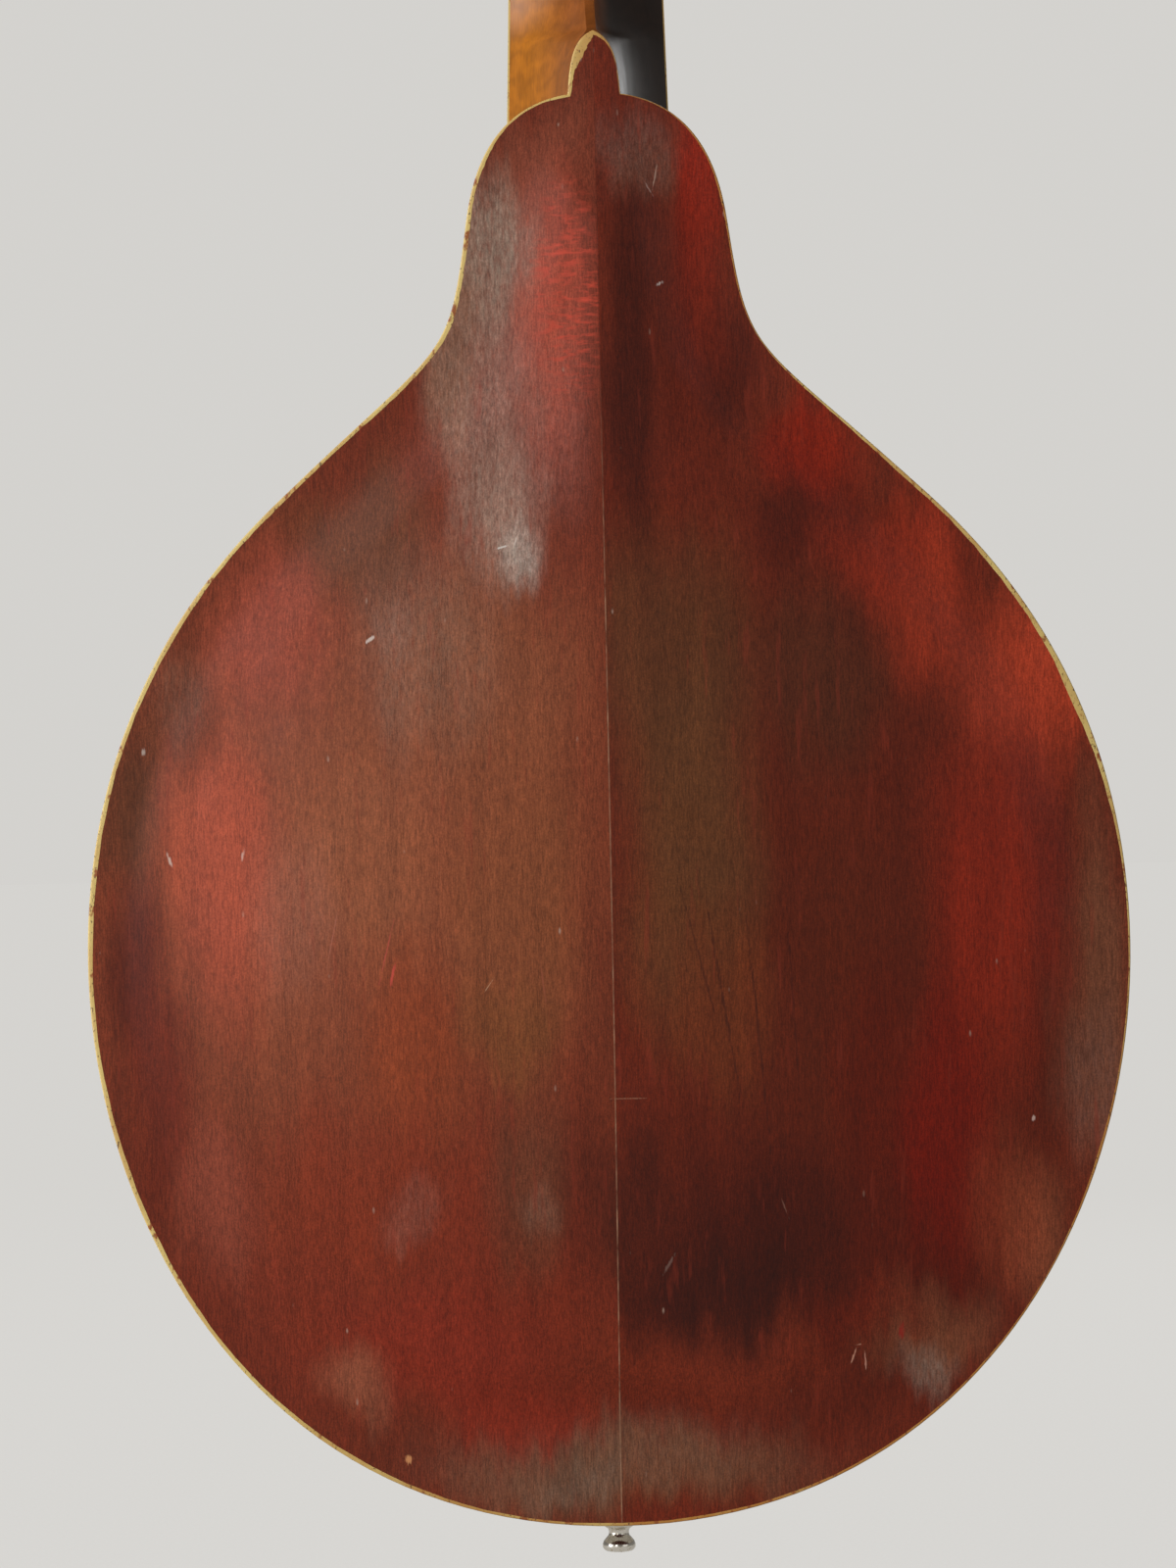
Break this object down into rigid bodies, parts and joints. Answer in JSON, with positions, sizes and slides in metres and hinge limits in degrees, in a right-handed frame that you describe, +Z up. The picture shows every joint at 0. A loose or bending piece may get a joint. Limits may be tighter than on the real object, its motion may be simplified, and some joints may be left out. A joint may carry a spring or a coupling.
{
  "type": "a-style mandolin",
  "caption": "A-style mandolin with a carved two-piece back, oval sound hole, paired strings, geared tuners and a sliding tailpiece cover.",
  "frame": {"origin": "at the nut, on the centre line, in the glue plane under the fingerboard, where a wall hanger's yoke holds the neck", "axes": "+Z up the strings towards the headstock, -Y the way the back faces, +X the bass side"},
  "size_m": [0.256, 0.1042, 0.6787],
  "materials": {
    "red_varnished_maple": "gloss",
    "spruce_top": "gloss",
    "amber_neck_wood": "gloss",
    "inner_wood": "raw",
    "cream_binding": "gloss",
    "ivoroid_button": "gloss",
    "ebony": "satin",
    "bone": "satin",
    "nickel": "polished",
    "brass": "satin",
    "steel_wire": "satin",
    "bronze_wire": "satin"
  },
  "bodies": {
    "instrument": {"back_bass_half": "red_varnished_maple", "back_treble_half": "red_varnished_maple", "side_bass": "red_varnished_maple", "side_treble": "red_varnished_maple", "top_plate": "spruce_top", "back_binding": "cream_binding", "top_binding": "cream_binding", "soundhole_binding": "cream_binding", "fingerboard_binding": "cream_binding", "neck": "amber_neck_wood", "fingerboard_riser": "amber_neck_wood", "neck_block": "inner_wood", "tail_block": "inner_wood", "top_brace": "inner_wood", "top_lining_bass": "inner_wood", "top_lining_treble": "inner_wood", "back_lining_bass": "inner_wood", "back_lining_treble": "inner_wood", "headstock_veneer": "ebony", "fingerboard": "ebony", "bridge": "ebony", "nut": "bone", "tailpiece_base": "nickel", "end_pin": "nickel", "tuner_plate_bass": "nickel", "tuner_plate_treble": "nickel", "string_1": "bronze_wire", "string_2": "bronze_wire", "string_3": "bronze_wire", "string_4": "bronze_wire", "string_5": "steel_wire", "string_6": "steel_wire", "string_7": "steel_wire", "string_8": "steel_wire"},
    "tailpiece_cover": {"tailpiece_cover": "nickel"},
    "tuner_worm_1": {"worm_1": "brass", "button_1": "ivoroid_button"},
    "tuner_worm_2": {"worm_2": "brass", "button_2": "ivoroid_button"},
    "tuner_worm_3": {"worm_3": "brass", "button_3": "ivoroid_button"},
    "tuner_worm_4": {"worm_4": "brass", "button_4": "ivoroid_button"},
    "tuner_worm_5": {"worm_5": "brass", "button_5": "ivoroid_button"},
    "tuner_worm_6": {"worm_6": "brass", "button_6": "ivoroid_button"},
    "tuner_worm_7": {"worm_7": "brass", "button_7": "ivoroid_button"},
    "tuner_worm_8": {"worm_8": "brass", "button_8": "ivoroid_button"},
    "string_post_1": {"post_1": "brass"},
    "string_post_2": {"post_2": "brass"},
    "string_post_3": {"post_3": "brass"},
    "string_post_4": {"post_4": "brass"},
    "string_post_5": {"post_5": "brass"},
    "string_post_6": {"post_6": "brass"},
    "string_post_7": {"post_7": "brass"},
    "string_post_8": {"post_8": "brass"}
  },
  "joints": [
    {"name": "cover_slide", "type": "slide", "parent": "instrument", "child": "tailpiece_cover", "axis": [0, 0.126, 0.992], "range_m": [0, 0.03]},
    {"name": "tuner_1", "type": "hinge", "parent": "instrument", "child": "tuner_worm_1", "pos_m": [0.01888, -0.03227, 0.03826], "axis": [0.9983, 0.0197, -0.0541], "continuous": true},
    {"name": "tuner_2", "type": "hinge", "parent": "instrument", "child": "tuner_worm_2", "pos_m": [0.02022, -0.04019, 0.06003], "axis": [0.9983, 0.0197, -0.0541], "continuous": true},
    {"name": "tuner_3", "type": "hinge", "parent": "instrument", "child": "tuner_worm_3", "pos_m": [0.02155, -0.04811, 0.08179], "axis": [0.9983, 0.0197, -0.0541], "continuous": true},
    {"name": "tuner_4", "type": "hinge", "parent": "instrument", "child": "tuner_worm_4", "pos_m": [0.02289, -0.05603, 0.10356], "axis": [0.9983, 0.0197, -0.0541], "continuous": true},
    {"name": "tuner_5", "type": "hinge", "parent": "instrument", "child": "tuner_worm_5", "pos_m": [-0.02289, -0.05603, 0.10356], "axis": [-0.9983, 0.0197, -0.0541], "continuous": true},
    {"name": "tuner_6", "type": "hinge", "parent": "instrument", "child": "tuner_worm_6", "pos_m": [-0.02155, -0.04811, 0.08179], "axis": [-0.9983, 0.0197, -0.0541], "continuous": true},
    {"name": "tuner_7", "type": "hinge", "parent": "instrument", "child": "tuner_worm_7", "pos_m": [-0.02022, -0.04019, 0.06003], "axis": [-0.9983, 0.0197, -0.0541], "continuous": true},
    {"name": "tuner_8", "type": "hinge", "parent": "instrument", "child": "tuner_worm_8", "pos_m": [-0.01888, -0.03227, 0.03826], "axis": [-0.9983, 0.0197, -0.0541], "continuous": true},
    {"name": "post_1_turn", "type": "hinge", "parent": "instrument", "child": "string_post_1", "pos_m": [0.0185, -0.02586, 0.03352], "axis": [0, -0.9397, -0.342], "continuous": true, "deforming": ["string_1"]},
    {"name": "post_2_turn", "type": "hinge", "parent": "instrument", "child": "string_post_2", "pos_m": [0.01983, -0.03378, 0.05529], "axis": [0, -0.9397, -0.342], "continuous": true, "deforming": ["string_2"]},
    {"name": "post_3_turn", "type": "hinge", "parent": "instrument", "child": "string_post_3", "pos_m": [0.02117, -0.0417, 0.07705], "axis": [0, -0.9397, -0.342], "continuous": true, "deforming": ["string_3"]},
    {"name": "post_4_turn", "type": "hinge", "parent": "instrument", "child": "string_post_4", "pos_m": [0.02251, -0.04963, 0.09882], "axis": [0, -0.9397, -0.342], "continuous": true, "deforming": ["string_4"]},
    {"name": "post_5_turn", "type": "hinge", "parent": "instrument", "child": "string_post_5", "pos_m": [-0.02251, -0.04963, 0.09882], "axis": [0, 0.9397, 0.342], "continuous": true, "deforming": ["string_5"]},
    {"name": "post_6_turn", "type": "hinge", "parent": "instrument", "child": "string_post_6", "pos_m": [-0.02117, -0.0417, 0.07705], "axis": [0, 0.9397, 0.342], "continuous": true, "deforming": ["string_6"]},
    {"name": "post_7_turn", "type": "hinge", "parent": "instrument", "child": "string_post_7", "pos_m": [-0.01983, -0.03378, 0.05529], "axis": [0, 0.9397, 0.342], "continuous": true, "deforming": ["string_7"]},
    {"name": "post_8_turn", "type": "hinge", "parent": "instrument", "child": "string_post_8", "pos_m": [-0.0185, -0.02586, 0.03352], "axis": [0, 0.9397, 0.342], "continuous": true, "deforming": ["string_8"]}
  ],
  "couplings": [
    {"joint": "post_1_turn", "follows": "tuner_1", "ratio": 0.071429},
    {"joint": "post_2_turn", "follows": "tuner_2", "ratio": 0.071429},
    {"joint": "post_3_turn", "follows": "tuner_3", "ratio": 0.071429},
    {"joint": "post_4_turn", "follows": "tuner_4", "ratio": 0.071429},
    {"joint": "post_5_turn", "follows": "tuner_5", "ratio": 0.071429},
    {"joint": "post_6_turn", "follows": "tuner_6", "ratio": 0.071429},
    {"joint": "post_7_turn", "follows": "tuner_7", "ratio": 0.071429},
    {"joint": "post_8_turn", "follows": "tuner_8", "ratio": 0.071429}
  ]
}
